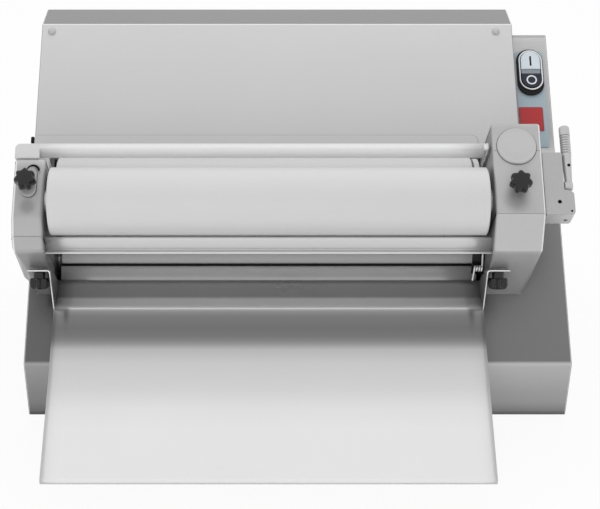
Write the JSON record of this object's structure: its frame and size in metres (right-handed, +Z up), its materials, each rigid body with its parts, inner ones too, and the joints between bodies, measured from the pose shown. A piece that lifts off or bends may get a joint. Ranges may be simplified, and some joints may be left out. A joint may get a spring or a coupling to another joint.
{
  "type": "dough sheeter",
  "caption": "Countertop dough sheeter: sloping sheet-metal base, wide white rollers between cast side covers, infeed hood, discharge chute, gap lever and clamp knobs.",
  "frame": {"origin": "middle of the bounding box at the level the feet stand on", "axes": "+X to the operator's right along the rollers, +Y away from the operator, +Z up"},
  "size_m": [0.655, 0.5408, 0.3769],
  "materials": {
    "stainless_sheet": "brushed, satin",
    "bright_steel": "polished edges",
    "dark_steel": "oiled",
    "screw_steel": "satin",
    "cast_cover": "fine matt casting",
    "white_roller": "satin food-grade plastic",
    "white_button": "gloss",
    "black_plastic": "satin",
    "black_button": "gloss",
    "lens": "translucent grey",
    "black_rubber": "matt",
    "blue_label": "printed film, blank",
    "red_label": "printed film, blank"
  },
  "bodies": {
    "base": {"adjusting_block": "cast_cover", "back_panel": "stainless_sheet", "blank_label": "red_label", "body_shell": "stainless_sheet", "bottom_plate": "stainless_sheet", "cable_gland": "black_plastic", "control_plate": "blue_label", "cover_cap": "cast_cover", "drive_chain": "dark_steel", "foot_back_left": "black_rubber", "foot_back_right": "black_rubber", "foot_front_left": "black_rubber", "foot_front_right": "black_rubber", "gearmotor": "dark_steel", "hood_bumper": "black_rubber", "hood_screw_left": "screw_steel", "hood_screw_right": "screw_steel", "infeed_guard": "bright_steel", "left_clamp_boss": "cast_cover", "left_cover": "cast_cover", "left_frame": "stainless_sheet", "left_front_bush": "bright_steel", "left_lower_bush": "bright_steel", "left_rear_bush": "bright_steel", "left_side_panel": "stainless_sheet", "lower_scraper": "stainless_sheet", "right_cover": "cast_cover", "right_frame": "stainless_sheet", "right_front_bush": "bright_steel", "right_lower_bush": "bright_steel", "right_rear_bush": "bright_steel", "right_side_panel": "stainless_sheet", "scraper_rail": "stainless_sheet", "slide_hood": "stainless_sheet", "slide_lip": "stainless_sheet", "spring_clip": "bright_steel", "switch_base": "black_plastic", "switch_bezel": "bright_steel", "switch_lens": "lens"},
    "front_roll": {"front_roller": "white_roller"},
    "rear_roll": {"rear_roller": "white_roller", "rear_sprocket": "dark_steel"},
    "lower_roll": {"lower_roller": "white_roller"},
    "motor_drive": {"motor_shaft": "bright_steel", "motor_sprocket": "dark_steel"},
    "lever": {"gap_lever": "bright_steel", "gap_shaft": "bright_steel"},
    "upper_left_clamp": {"left_upper_knob": "black_plastic"},
    "upper_right_clamp": {"right_upper_knob": "black_plastic"},
    "lower_left_clamp": {"left_lower_knob": "black_plastic"},
    "lower_right_clamp": {"right_lower_knob": "black_plastic"},
    "chute_tray": {"chute": "bright_steel", "left_chute_ear": "bright_steel", "right_chute_ear": "bright_steel"},
    "start_key": {"start_button": "white_button"},
    "stop_key": {"stop_button": "black_button"}
  },
  "joints": [
    {"name": "front_spin", "type": "hinge", "parent": "base", "child": "front_roll", "pos_m": [-0.0315, -0.04056, 0.26133], "axis": [1, 0, 0], "continuous": true},
    {"name": "rear_spin", "type": "hinge", "parent": "base", "child": "rear_roll", "pos_m": [-0.0315, 0.03794, 0.23295], "axis": [1, 0, 0], "continuous": true},
    {"name": "lower_spin", "type": "hinge", "parent": "base", "child": "lower_roll", "pos_m": [-0.0315, 0.01889, 0.14788], "axis": [1, 0, 0], "continuous": true},
    {"name": "motor_spin", "type": "hinge", "parent": "base", "child": "motor_drive", "pos_m": [0.2045, 0.1428, 0.085], "axis": [1, 0, 0], "continuous": true},
    {"name": "lever_turn", "type": "hinge", "parent": "base", "child": "lever", "pos_m": [0.3155, -0.04587, 0.28435], "axis": [1, 0, 0], "range_deg": [0, 60]},
    {"name": "upper_left_turn", "type": "hinge", "parent": "base", "child": "upper_left_clamp", "pos_m": [-0.3115, -0.05154, 0.29765], "axis": [0, -0.6088, 0.7934], "continuous": true},
    {"name": "upper_right_turn", "type": "hinge", "parent": "base", "child": "upper_right_clamp", "pos_m": [0.2561, -0.06462, 0.30123], "axis": [0, -0.6088, 0.7934], "continuous": true},
    {"name": "lower_left_turn", "type": "hinge", "parent": "base", "child": "lower_left_clamp", "pos_m": [-0.2995, -0.08987, 0.17905], "axis": [0, -0.4648, -0.8854], "continuous": true},
    {"name": "lower_right_turn", "type": "hinge", "parent": "base", "child": "lower_right_clamp", "pos_m": [0.2365, -0.08987, 0.17905], "axis": [0, -0.4648, -0.8854], "continuous": true},
    {"name": "chute_lift", "type": "slide", "parent": "base", "child": "chute_tray", "axis": [0, -0.8854, 0.4648], "range_m": [0, 0.12]},
    {"name": "start_press", "type": "slide", "parent": "base", "child": "start_key", "axis": [0, 0.6088, -0.7934], "range_m": [0, 0.0015], "stiffness_N_per_m": 300, "springref_m": -0.0005},
    {"name": "stop_press", "type": "slide", "parent": "base", "child": "stop_key", "axis": [0, 0.6088, -0.7934], "range_m": [0, 0.0015], "stiffness_N_per_m": 300, "springref_m": -0.0005}
  ],
  "couplings": [
    {"joint": "rear_spin", "follows": "front_spin", "ratio": -1},
    {"joint": "lower_spin", "follows": "front_spin", "ratio": -1},
    {"joint": "motor_spin", "follows": "front_spin", "ratio": -1}
  ]
}
